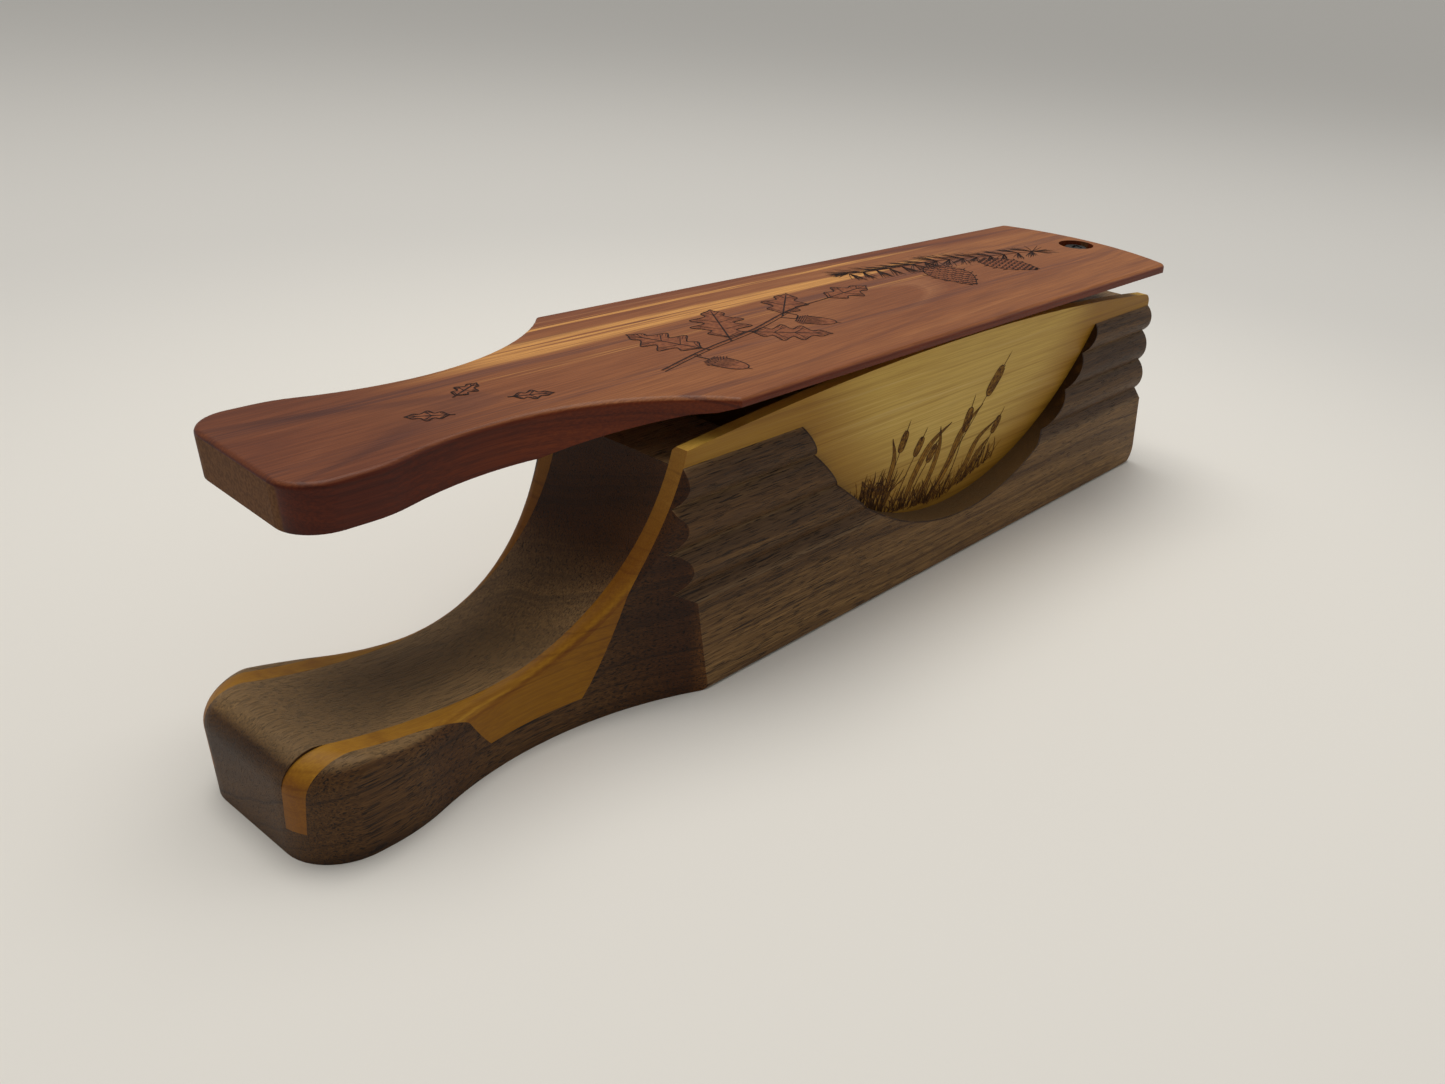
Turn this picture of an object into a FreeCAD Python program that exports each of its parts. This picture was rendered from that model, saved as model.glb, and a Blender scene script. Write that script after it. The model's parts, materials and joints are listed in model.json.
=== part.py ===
import FreeCAD, Part
import math
import os
import Sketcher

# A box call: a long wooden trough with two thin sound boards, held by a handle at one end,
# and a paddle lid that strokes across the crowned edges of the boards.
# Axes: +X runs from the handle to the pivot screw, +Y to the left, +Z up. The call rests on Z = 0.

Vector = FreeCAD.Vector
doc = FreeCAD.newDocument("box_call")

# ---------------------------------------------------------------- driving dimensions, millimetres
DIMENSIONS = {
    # trough
    "body_length": "286",            # handle end to far end
    "base_half_width": "25.2",       # half the width across the bottom
    "cheek_slope": "0.044",          # how far a cheek leans in, per millimetre of height
    "base_thickness": "6.5",
    "channel_half_width": "11.5",    # half the channel, measured at the bottom of the call
    "board_slope": "0.111",          # how far a sound board leans out, per millimetre of height
    "board_thickness": "4.16",       # measured straight across
    "crown_apex_x": "43",            # where the crowned edge is highest
    "crown_height": "62",
    "crown_radius": "890",
    "lip_bevel": "0.9",              # bevel along the inner edge of each crown
    "board_tip_radius": "4.5",       # rounded top corner at the far end of each board
    "board_tip_depth": "3.5",
    "near_block_height": "52.4",
    "far_block_height": "54",
    "near_block_reach": "107",       # handle end to the start of the sound chamber
    "far_block_length": "34",
    "heel_radius": "6",              # rounded bottom corner at the far end
    # handle of the trough
    "dip_reach": "37.5",             # handle end to the lowest point of its top
    "dip_height": "16.7",
    "throat_radius": "48.5",         # hollow that rises from the handle to the box
    "palm_radius": "110",
    "nose_radius": "6",
    "waist_reach": "49.0",           # handle end to the narrowest point of the outline
    "waist_half_width": "15.6",
    "waist_front_radius": "82",
    "waist_back_radius": "72",
    "flare_reach": "13",
    "flare_half_width": "21.8",
    "end_corner_radius": "11",
    "box_corner_radius": "3.2",
    "grip_round": "3",               # rounding along the top edges of the handle
    "flare_round": "4",              # the same where the handle flares out
    "foot_round": "1",
    # cheeks
    "flat_height": "22.2",           # plain band below the beads
    "first_groove_height": "25.2",
    "bead_pitch": "9.6",
    "groove_depth": "2.2",
    "cheek_height": "52.6",
    "scoop_x": "43",
    "scoop_radius": "74.5",
    "scoop_floor": "13",
    # paddle lid, measured from its pivot
    "pivot_inset": "14",             # far end of the trough to the pivot
    "paddle_inset": "13.3",          # handle end of the trough to handle end of the paddle
    "stroke_clearance": "0.55",      # underside of the paddle over the highest point of the crown
    "paddle_droop": "0.0192",        # how far the paddle drops towards its handle, per millimetre
    "rest_swing": "2.8",             # degrees that the paddle lies swung to the left at rest
    "paddle_tail": "9",              # pivot to far end
    "paddle_thickness": "5.2",
    "handle_thickness": "9.2",
    "tail_half_width": "30.8",
    "tail_radius": "80",
    "shoulder_half_width": "35",
    "neck_reach": "41.7",            # handle end of the paddle to its narrowest point
    "neck_half_width": "15.7",
    "neck_front_radius": "56",
    "neck_back_radius": "64",
    "grip_reach": "12.7",
    "grip_half_width": "20.7",
    "grip_corner_radius": "8",
    "ramp_reach": "46.7",            # handle end of the paddle to where its underside starts to thin
    "ramp_length": "30",
    "belly_radius": "250",           # hollow side to side curve of the underside
    "bevel_width": "3.5",
    "bevel_rise": "1.3",
    "edge_round": "1.2",
    "tail_corner_radius": "2.5",
    # pivot
    "screw_radius": "2.1",
    "screw_length": "40",
    "head_radius": "4",
    "head_height": "1.9",
    "cross_width": "0.9",
    "cross_span": "4.4",
    "cross_depth": "1.1",
    "washer_radius": "4.9",
    "washer_thickness": "0.8",
    "head_pocket_radius": "5.5",
    "head_pocket_depth": "3.2",
    "thread_pitch": "2",
    "thread_depth": "0.6",
    "spring_radius": "3.6",
    "spring_wire": "0.8",
    "spring_turns": "5",
    # clearances
    "rocking_clearance": "0.5",      # lid and washers round the screw
    "thread_clearance": "0.05",
    "head_clearance": "0.2",
    "washer_clearance": "0.03",
    "spring_clearance": "0.15",
}
sheet = doc.addObject("Spreadsheet::Sheet", "Dimensions")
for row, (alias, number) in enumerate(DIMENSIONS.items(), start=1):
    sheet.set("A%d" % row, alias)
    sheet.set("B%d" % row, number)
    sheet.setAlias("B%d" % row, alias)
doc.recompute()


class Size:
    """A length with the spreadsheet expression that it comes from, so both stay in step."""

    def __init__(self, value, text=None):
        self.value = float(value)
        self.text = text if text else "%.9g" % float(value)

    def join(self, other, sign, value):
        other = Size.of(other)
        return Size(value(self.value, other.value), "(%s %s %s)" % (self.text, sign, other.text))

    @staticmethod
    def of(number):
        return number if isinstance(number, Size) else Size(number)

    def __add__(self, other):
        return self.join(other, "+", lambda a, b: a + b)

    def __sub__(self, other):
        return self.join(other, "-", lambda a, b: a - b)

    def __mul__(self, other):
        return self.join(other, "*", lambda a, b: a * b)

    def __truediv__(self, other):
        return self.join(other, "/", lambda a, b: a / b)

    def __radd__(self, other):
        return Size.of(other) + self

    def __rsub__(self, other):
        return Size.of(other) - self

    def __rmul__(self, other):
        return Size.of(other) * self

    def __neg__(self):
        return Size(-self.value, "(-1 * %s)" % self.text)

    def root(self):
        return Size(self.value ** 0.5, "sqrt(%s)" % self.text)


def size(alias):
    return Size(sheet.get(alias), "Dimensions." + alias)


def leg(hypotenuse, side):
    """The other short side of a right-angled triangle."""
    return (hypotenuse * hypotenuse - side * side).root()


def bind(thing, prop, length):
    thing.setExpression(prop, Size.of(length).text)


# ---------------------------------------------------------------- sketches and bodies
def new_body(name):
    return doc.addObject("PartDesign::Body", name)


def new_sketch(body, name, plane, offset=None):
    sketch = body.newObject("Sketcher::SketchObject", name)
    origin_plane = next(f for f in body.Origin.OriginFeatures if f.Role == plane)
    sketch.AttachmentSupport = [(origin_plane, "")]
    sketch.MapMode = "FlatFace"
    if offset is not None:
        sketch.AttachmentOffset = FreeCAD.Placement(Vector(0, 0, Size.of(offset).value), FreeCAD.Rotation())
        bind(sketch, "AttachmentOffset.Base.z", offset)
    return sketch


def arc_between(start, end, radius):
    """The short arc between two points; a positive radius turns left on the way."""
    if radius < 0:
        return arc_between(end, start, -radius)
    chord = end - start
    half = chord.Length / 2
    inward = Vector(-chord.y, chord.x, 0).normalize()
    centre = (start + end) / 2 + inward * (radius * radius - half * half) ** 0.5
    angles = [math.atan2(p.y - centre.y, p.x - centre.x) for p in (start, end)]
    return Part.ArcOfCircle(Part.Circle(centre, Vector(0, 0, 1), radius), *angles)


def draw(sketch, corners):
    """Closed outline. A corner is (x, y), or (x, y, radius) where an arc leads to it."""
    points = [Vector(Size.of(c[0]).value, Size.of(c[1]).value, 0) for c in corners]
    first = len(sketch.Geometry)
    ends = []
    for i, corner in enumerate(corners):
        start, end = points[i - 1], points[i]
        if len(corner) == 2:
            index = sketch.addGeometry(Part.LineSegment(start, end))
        else:
            index = sketch.addGeometry(arc_between(start, end, Size.of(corner[2]).value))
        forward = len(corner) == 2 or Size.of(corner[2]).value > 0
        ends.append((index, 1 if forward else 2, 2 if forward else 1))
    for i, corner in enumerate(corners):
        index, _, finish = ends[i]
        following, begin, _ = ends[(i + 1) % len(corners)]
        sketch.addConstraint(Sketcher.Constraint("Coincident", index, finish, following, begin))
        for kind, length in (("DistanceX", corner[0]), ("DistanceY", corner[1])):
            length = Size.of(length)
            number = sketch.addConstraint(Sketcher.Constraint(kind, -1, 1, index, finish, length.value))
            bind(sketch, "Constraints[%d]" % number, length)
        if len(corner) == 3:
            radius = Size.of(corner[2])
            if radius.value < 0:
                radius = -radius
            number = sketch.addConstraint(Sketcher.Constraint("Radius", index, radius.value))
            bind(sketch, "Constraints[%d]" % number, radius)
    return first


def circle(sketch, radius):
    radius = Size.of(radius)
    index = sketch.addGeometry(Part.Circle(Vector(0, 0, 0), Vector(0, 0, 1), radius.value))
    sketch.addConstraint(Sketcher.Constraint("Coincident", index, 3, -1, 1))
    number = sketch.addConstraint(Sketcher.Constraint("Radius", index, radius.value))
    bind(sketch, "Constraints[%d]" % number, radius)


def pad(body, name, sketch, length, reverse=False, midplane=False):
    feature = body.newObject("PartDesign::Pad", name)
    feature.Profile = sketch
    feature.Length = Size.of(length).value
    bind(feature, "Length", length)
    feature.Reversed = reverse
    feature.Midplane = midplane
    return feature


def pocket(body, name, sketch, length):
    """Cut down from the sketch plane, and make sure that it took wood or metal away."""
    before = body.Shape.Volume
    feature = body.newObject("PartDesign::Pocket", name)
    feature.Profile = sketch
    feature.Length = Size.of(length).value
    bind(feature, "Length", length)
    doc.recompute()
    if feature.Shape.Volume > before - 1e-3:
        raise RuntimeError(name + " cuts nothing")
    return feature


def prism(name, outline, start, length):
    """A bar along X with the given outline in Y and Z."""
    body = new_body(name)
    sketch = new_sketch(body, name + "_section", "YZ_Plane", start)
    draw(sketch, outline)
    pad(body, name + "_bar", sketch, length)
    return body


def cylinder_across(name, radius, x, z):
    """A cylinder that lies along Y."""
    rod = doc.addObject("Part::Cylinder", name)
    bind(rod, "Radius", radius)
    bind(rod, "Height", size("base_half_width") * 4)
    turned = FreeCAD.Rotation(Vector(1, 0, 0), -90)
    rod.Placement = FreeCAD.Placement(Vector(0, 0, 0), turned)
    bind(rod, "Placement.Base.x", x)
    bind(rod, "Placement.Base.y", size("base_half_width") * -2)
    bind(rod, "Placement.Base.z", z)
    return rod


def common(name, *shapes):
    result = doc.addObject("Part::MultiCommon", name)
    result.Shapes = list(shapes)
    return result


def cut(name, base, tool):
    result = doc.addObject("Part::Cut", name)
    result.Base = base
    result.Tool = tool
    return result


def mirrored(name, source):
    result = doc.addObject("Part::Mirroring", name)
    result.Source = source
    result.Normal = Vector(0, 1, 0)
    return result


def touching(centre_a, radius_a, centre_b, radius_b):
    """The point where two circles touch from outside."""
    share = radius_a / (radius_a + radius_b)
    return tuple(a + (b - a) * share for a, b in zip(centre_a, centre_b))


def reverse_radius(along, aside, hollow):
    """Radius of the bulge that touches a hollow of the given radius and peaks at the given offset from its centre."""
    return (along * along + aside * aside - hollow * hollow) / ((hollow - aside) * 2)


# ---------------------------------------------------------------- outline of the trough seen from above
end_x = -size("body_length") / 2
far_x = size("body_length") / 2
waist_x, waist = end_x + size("waist_reach"), size("waist_half_width")
front, back = size("waist_front_radius"), size("waist_back_radius")
flare_x, flare = end_x + size("flare_reach"), size("flare_half_width")
corner = size("end_corner_radius")
box_corner = size("box_corner_radius")
side = size("base_half_width")

flare_radius = reverse_radius(waist_x - flare_x, waist + back - flare, back)
flare_end = touching((flare_x, flare - flare_radius), flare_radius, (waist_x, waist + back), back)
box_x = waist_x + leg(front + box_corner, waist + front + box_corner - side)
waist_end = touching((waist_x, waist + front), front, (box_x, side - box_corner), box_corner)

left_outline = [
    (far_x, side),
    (box_x, side),
    (waist_end[0], waist_end[1], box_corner),
    (waist_x, waist, -front),
    (flare_end[0], flare_end[1], -back),
    (flare_x, flare, flare_radius),
    (end_x + corner, flare),
    (end_x, flare - corner, corner),
]


def both_sides(outline):
    """Follow the left side, then come back through the same corners on the right side."""
    corners = list(outline)
    for i in reversed(range(len(outline))):
        arc = outline[i + 1][2:] if i + 1 < len(outline) else ()
        corners.append((outline[i][0], -outline[i][1]) + tuple(arc))
    return corners


plan_form = new_body("plan_form")
plan_sketch = new_sketch(plan_form, "plan_outline", "XY_Plane")
draw(plan_sketch, both_sides(left_outline))
form_height = size("crown_height") * 1.3
pad(plan_form, "plan_block", plan_sketch, form_height)

# ---------------------------------------------------------------- outline of the trough seen from the side
dip_x, dip = end_x + size("dip_reach"), size("dip_height")
throat, palm = size("throat_radius"), size("palm_radius")
heel = size("heel_radius")

side_form = new_body("side_form")
side_sketch = new_sketch(side_form, "side_outline", "XZ_Plane")
draw(side_sketch, [
    (end_x, 0),
    (far_x - heel, 0),
    (far_x, heel, heel),
    (far_x, form_height),
    (dip_x + throat, form_height),
    (dip_x + throat, dip + throat),
    (dip_x, dip, -throat),
    (end_x, dip + palm - leg(palm, dip_x - end_x), -palm),
])
pad(side_form, "side_block", side_sketch, side * 3, midplane=True)
square_form = common("square_form", plan_form, side_form)
doc.recompute()


def edges_where(shape, wanted):
    """Numbers of the edges that pass the test, which sees the edge and its middle point."""
    numbers = []
    for number, edge in enumerate(shape.Edges, start=1):
        middle = edge.valueAt((edge.FirstParameter + edge.LastParameter) / 2)
        if wanted(edge, middle):
            numbers.append(number)
    return numbers


def is_grip_edge(edge, middle):
    """Top edges of the handle, round its end and up the throat."""
    box = edge.BoundBox
    on_outline = abs(middle.y) > waist.value * 0.9 or box.XMax < end_x.value + 0.01
    return on_outline and middle.z > dip.value * 0.9 and max(box.XLength, box.YLength) > 1 and box.XMax < box_x.value


def edge_radii(edge):
    """The nose at the end of the handle is rounder than the flare, and the flare than the rest."""
    radii = []
    for point in (edge.valueAt(edge.FirstParameter), edge.valueAt(edge.LastParameter)):
        if point.x < end_x.value + 0.01:
            radii.append(size("nose_radius").value)
        elif point.x < flare_x.value + 0.01:
            radii.append(size("flare_round").value)
        else:
            radii.append(size("grip_round").value)
    return tuple(radii)


form_edges = square_form.Shape.Edges
body_form = doc.addObject("Part::Fillet", "body_form")
body_form.Base = square_form
rounded = [(n,) + edge_radii(form_edges[n - 1]) for n in edges_where(square_form.Shape, is_grip_edge)]
body_form.Edges = rounded
doc.recompute()

# ---------------------------------------------------------------- pieces of the trough
base_top = size("base_thickness")
block_top = size("near_block_height")
far_top = size("far_block_height")
chamber_start, chamber_end = end_x + size("near_block_reach"), far_x - size("far_block_length")
length = size("body_length")
board_slope = size("board_slope")
across = size("board_thickness")


def channel_at(height):
    """Half the width between the sound boards at a height."""
    return size("channel_half_width") + board_slope * height


def board_outside_at(height):
    return channel_at(height) + across


def cheek_at(height):
    return side - size("cheek_slope") * height


def channel_fill(name, top, start, end):
    """A block that fills the channel between the sound boards, on top of the base board."""
    outline = [
        (channel_at(base_top), base_top),
        (channel_at(top), top),
        (-channel_at(top), top),
        (-channel_at(base_top), base_top),
    ]
    return prism(name, outline, start, end - start)


base_edge = board_outside_at(base_top)
base_bar = prism("base_bar", [(base_edge, 0), (base_edge, base_top), (-base_edge, base_top), (-base_edge, 0)],
                 end_x, length)
base_board = common("base_board", base_bar, body_form)

core_fill = channel_fill("core_fill", block_top, end_x, chamber_start)
handle_core = common("handle_core", core_fill, body_form)

far_fill = channel_fill("far_fill", far_top, chamber_end, far_x)
far_shape = common("far_shape", far_fill, body_form)

# ---- sound boards, with the crown that the paddle strokes
board_bar = prism("board_bar", [
    (channel_at(base_top), base_top),
    (board_outside_at(base_top), base_top),
    (board_outside_at(form_height), form_height),
    (channel_at(form_height), form_height),
], end_x, length)
crown_radius, tip_radius, tip_depth = size("crown_radius"), size("board_tip_radius"), size("board_tip_depth")
crown_z = size("crown_height") - crown_radius
crown = cylinder_across("crown", crown_radius, size("crown_apex_x"), crown_z)
board_crowned = common("board_crowned", board_bar, crown)
doc.recompute()


def is_lip(edge, middle):
    """Inner edge along the crown."""
    inner = abs(middle.y - channel_at(Size(middle.z)).value) < 0.01
    return inner and middle.z > far_top.value and edge.BoundBox.XLength > length.value / 2


board_lipped = doc.addObject("Part::Chamfer", "board_lipped")
board_lipped.Base = board_crowned
lip = size("lip_bevel").value
board_lipped.Edges = [(n, lip, lip) for n in edges_where(board_crowned.Shape, is_lip)]

# the far end of the crown runs into a rounded corner
tip_z_on_crown = crown_z + leg(crown_radius, far_x - tip_depth - size("crown_apex_x"))
tip_form = new_body("tip_form")
tip_sketch = new_sketch(tip_form, "tip_outline", "XZ_Plane")
draw(tip_sketch, [
    (end_x, 0),
    (far_x, 0),
    (far_x, tip_z_on_crown - leg(tip_radius, tip_radius - tip_depth)),
    (far_x - tip_depth, tip_z_on_crown, tip_radius),
    (end_x, tip_z_on_crown + length * 0.3),
])
pad(tip_form, "tip_block", tip_sketch, side * 3, midplane=True)
sound_board_left = common("sound_board_left", board_lipped, body_form, tip_form)
sound_board_right = mirrored("sound_board_right", sound_board_left)

# ---- cheeks with three beads, and the scoop that bares the sound board
cheek_top = size("cheek_height")
depth = size("groove_depth")
grooves = [size("first_groove_height") + size("bead_pitch") * i for i in range(3)]
flat = size("flat_height")


def bead_radius(width):
    return (width * width / 4 + depth * depth) / (depth * 2)


foot = size("foot_round")
cheek_outline = [
    (base_edge, 0),
    (cheek_at(foot) - foot, 0),
    (cheek_at(foot), foot, foot),
    (cheek_at(flat), flat),
    (cheek_at(grooves[0]) - depth, grooves[0]),
    (cheek_at(grooves[1]) - depth, grooves[1], bead_radius(size("bead_pitch"))),
    (cheek_at(grooves[2]) - depth, grooves[2], bead_radius(size("bead_pitch"))),
    (board_outside_at(cheek_top), cheek_top, bead_radius(cheek_top - grooves[2])),
    (base_edge, base_top),
]
scoop = cylinder_across("scoop", size("scoop_radius"), size("scoop_x"),
                        size("scoop_floor") + size("scoop_radius"))
main_bar = prism("main_bar", cheek_outline, waist_x, far_x - waist_x)
main_shape = common("main_shape", main_bar, body_form)
cheek_left = cut("cheek_left", main_shape, scoop)
cheek_right = mirrored("cheek_right", cheek_left)
grip_bar = prism("grip_bar", cheek_outline, end_x, waist_x - end_x)
handle_cheek_left = common("handle_cheek_left", grip_bar, body_form)
handle_cheek_right = mirrored("handle_cheek_right", handle_cheek_left)

# ---------------------------------------------------------------- pivot levels
pivot_x = far_x - size("pivot_inset")
lid_under = size("paddle_thickness")
droop = size("paddle_droop")
lid_top = (size("crown_height") + size("stroke_clearance") + lid_under
           + droop * (pivot_x - size("crown_apex_x")))
pocket_radius, pocket_depth = size("head_pocket_radius"), size("head_pocket_depth")
shank = size("screw_radius")
washer_thickness = size("washer_thickness")
head_under = lid_top - pocket_depth + washer_thickness + size("head_clearance")
head_top = head_under + size("head_height")
tip_z = head_under - size("screw_length")

hole = doc.addObject("Part::Cylinder", "pilot_hole")
bind(hole, "Radius", shank + size("thread_clearance"))
bind(hole, "Height", far_top - tip_z + 4)
bind(hole, "Placement.Base.x", pivot_x)
bind(hole, "Placement.Base.z", tip_z - 2)
far_block = cut("far_block", far_shape, hole)

# ---------------------------------------------------------------- paddle lid
tail, tail_w, tail_radius = size("paddle_tail"), size("tail_half_width"), size("tail_radius")
shoulder_w = size("shoulder_half_width")
paddle_end = end_x + size("paddle_inset") - pivot_x
neck_x, neck_w = paddle_end + size("neck_reach"), size("neck_half_width")
neck_front, neck_back = size("neck_front_radius"), size("neck_back_radius")
grip_x, grip_w = paddle_end + size("grip_reach"), size("grip_half_width")
grip_corner = size("grip_corner_radius")
thick = size("handle_thickness")

tail_x = tail - tail_radius + leg(tail_radius, tail_w)
shoulder_x = neck_x + leg(neck_front, neck_w + neck_front - shoulder_w)
grip_radius = reverse_radius(neck_x - grip_x, neck_w + neck_back - grip_w, neck_back)
grip_touch = touching((grip_x, grip_w - grip_radius), grip_radius, (neck_x, neck_w + neck_back), neck_back)

paddle = new_body("paddle")
paddle_sketch = new_sketch(paddle, "paddle_outline", "XY_Plane")
draw(paddle_sketch, both_sides([
    (tail_x, tail_w, tail_radius),
    (shoulder_x, shoulder_w),
    (neck_x, neck_w, -neck_front),
    (grip_touch[0], grip_touch[1], -neck_back),
    (grip_x, grip_w, grip_radius),
    (paddle_end + grip_corner, grip_w),
    (paddle_end, grip_w - grip_corner, grip_corner),
]))
pad(paddle, "paddle_blank", paddle_sketch, thick, reverse=True)


def belly_section(name, x, half_width, depth_here):
    """Wood to take off below the underside: a shallow belly, with a bevel along each side."""
    sketch = new_sketch(paddle, name, "YZ_Plane", x)
    belly = size("belly_radius")
    bevel_start = half_width - size("bevel_width")
    bevel_z = belly - leg(belly, bevel_start) - depth_here
    beyond = 2
    outer = half_width + beyond
    outer_z = bevel_z + size("bevel_rise") * (size("bevel_width") + beyond) / size("bevel_width")
    floor = thick * -2
    draw(sketch, [
        (outer, floor),
        (outer, outer_z),
        (bevel_start, bevel_z),
        (-bevel_start, bevel_z, -belly),
        (-outer, outer_z),
        (-outer, floor),
    ])
    return sketch


grip_sag = size("belly_radius") - leg(size("belly_radius"), grip_w)
ramp_x = paddle_end + size("ramp_reach")
sections = [
    belly_section("ramp_foot", ramp_x, shoulder_w, thick + grip_sag),
    belly_section("ramp_head", ramp_x + size("ramp_length"), shoulder_w, lid_under),
    belly_section("belly_tail", tail * 2, tail_w, lid_under),
]
doc.recompute()
belly = paddle.newObject("PartDesign::SubtractiveLoft", "belly")
belly.Profile = sections[0]
belly.Sections = sections[1:]
belly.Ruled = True
doc.recompute()

head_pocket_sketch = new_sketch(paddle, "head_pocket_outline", "XY_Plane")
circle(head_pocket_sketch, pocket_radius)
pocket(paddle, "head_pocket", head_pocket_sketch, pocket_depth)
screw_hole_sketch = new_sketch(paddle, "screw_hole_outline", "XY_Plane")
circle(screw_hole_sketch, shank + size("rocking_clearance"))
pocket(paddle, "screw_hole", screw_hole_sketch, thick)


def dress(body, name, wanted, radius):
    """Round the edges that pass the test."""
    before = body.Tip
    numbers = edges_where(before.Shape, wanted)
    feature = body.newObject("PartDesign::Fillet", name)
    feature.Base = (before, ["Edge%d" % n for n in numbers])
    feature.Radius = Size.of(radius).value
    bind(feature, "Radius", radius)
    doc.recompute()
    return feature


def is_tail_corner(edge, middle):
    upright = edge.BoundBox.ZLength > lid_under.value * 0.3 and edge.BoundBox.XLength < 0.5
    return upright and middle.x > 0 and abs(middle.y) > tail_w.value * 0.9


def is_top_edge(edge, middle):
    box = edge.BoundBox
    round_hole = abs(middle.y) < pocket_radius.value + 0.01 and abs(middle.x) < pocket_radius.value + 0.01
    return box.ZMin > -0.01 and not round_hole


def is_grip_underside(edge, middle):
    box = edge.BoundBox
    return box.ZMax < -thick.value + 0.01 and box.XMax < neck_x.value + 10


dress(paddle, "tail_corners", is_tail_corner, size("tail_corner_radius"))
dress(paddle, "top_edges", is_top_edge, size("edge_round"))

def rest_on_pivot(thing):
    """Sit at the pivot with the paddle, swung and drooping with it."""
    thing.setExpression("Placement", "placement(vector(%s; 0; %s); rotation(-1 * %s; -1 * atan(%s); 0))" % (
        pivot_x.text, lid_top.text, size("rest_swing").text, droop.text))


rest_on_pivot(paddle)


# ---------------------------------------------------------------- washers, screw and spring
def washer(name, top, inner_radius):
    body = new_body(name)
    sketch = new_sketch(body, name + "_outline", "XY_Plane", top)
    circle(sketch, size("washer_radius"))
    circle(sketch, inner_radius)
    pad(body, name + "_disc", sketch, washer_thickness, reverse=True)
    rest_on_pivot(body)
    return body


head_washer = washer("head_washer", washer_thickness - pocket_depth + size("washer_clearance"),
                     shank + size("rocking_clearance") / 2)
spring_washer = washer("spring_washer", -lid_under - size("washer_clearance"),
                       shank + size("rocking_clearance"))

pivot_screw = new_body("pivot_screw")
screw_sketch = new_sketch(pivot_screw, "screw_outline", "XZ_Plane")
head_radius = size("head_radius")
crown_of_head = size("head_height") * 0.6
dome = (head_radius * head_radius * 0.64 + crown_of_head * crown_of_head) / (crown_of_head * 2)
draw(screw_sketch, [
    (0, tip_z),
    (shank, tip_z + shank * 2),
    (shank, head_under),
    (head_radius, head_under),
    (head_radius, head_top - crown_of_head),
    (head_radius * 0.8, head_top - size("head_height") * 0.2),
    (0, head_top),
])
turned = pivot_screw.newObject("PartDesign::Revolution", "screw_turned")
turned.Profile = screw_sketch
turned.ReferenceAxis = (screw_sketch, ["V_Axis"])
turned.Angle = 360
doc.recompute()

thread_sketch = new_sketch(pivot_screw, "thread_outline", "XZ_Plane")
pitch = size("thread_pitch")
thread_start = tip_z + shank * 2 + pitch
land = pitch * 0.1
draw(thread_sketch, [
    (shank - size("thread_depth"), thread_start + pitch / 2),
    (shank + 1, thread_start + land),
    (shank + 1, thread_start + pitch - land),
])
thread = pivot_screw.newObject("PartDesign::Groove", "thread_groove")
thread.Profile = thread_sketch
thread.ReferenceAxis = (thread_sketch, ["V_Axis"])
thread.Angle = 360
doc.recompute()
turns = int((far_top - thread_start).value / pitch.value) - 1
thread_pattern = pivot_screw.newObject("PartDesign::LinearPattern", "thread_pattern")
thread_pattern.Originals = [thread]
thread_pattern.Direction = (thread_sketch, ["V_Axis"])
thread_pattern.Length = pitch.value * (turns - 1)
thread_pattern.Occurrences = turns
bind(thread_pattern, "Length", pitch * (turns - 1))
pivot_screw.Tip = thread_pattern
doc.recompute()

slot_sketch = new_sketch(pivot_screw, "cross_outline", "XY_Plane", head_top)
arm, reach_out = size("cross_width") / 2, size("cross_span") / 2
draw(slot_sketch, [
    (reach_out, -arm), (reach_out, arm), (arm, arm), (arm, reach_out), (-arm, reach_out), (-arm, arm),
    (-reach_out, arm), (-reach_out, -arm), (-arm, -arm), (-arm, -reach_out), (arm, -reach_out), (arm, -arm),
])
pocket(pivot_screw, "cross_recess", slot_sketch, size("cross_depth"))
bind(pivot_screw, "Placement.Base.x", pivot_x)

spring_low = far_top + size("spring_wire") / 2 + size("spring_clearance") / 3
washer_droop = size("washer_radius") * droop
spring_high = lid_top - lid_under - washer_thickness - washer_droop - size("spring_wire") / 2 - size("spring_clearance")
coil = doc.addObject("Part::Helix", "coil")
bind(coil, "Radius", size("spring_radius"))
bind(coil, "Height", spring_high - spring_low)
bind(coil, "Pitch", (spring_high - spring_low) / size("spring_turns"))
wire = doc.addObject("Part::Circle", "wire")
bind(wire, "Radius", size("spring_wire") / 2)
wire.Placement = FreeCAD.Placement(Vector(0, 0, 0), FreeCAD.Rotation(Vector(1, 0, 0), 90))
bind(wire, "Placement.Base.x", size("spring_radius"))
pivot_spring = doc.addObject("Part::Sweep", "pivot_spring")
pivot_spring.Sections = [wire]
pivot_spring.Spine = (coil, [])
pivot_spring.Solid = True
pivot_spring.Frenet = True
bind(pivot_spring, "Placement.Base.x", pivot_x)
bind(pivot_spring, "Placement.Base.z", spring_low)
doc.recompute()

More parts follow.
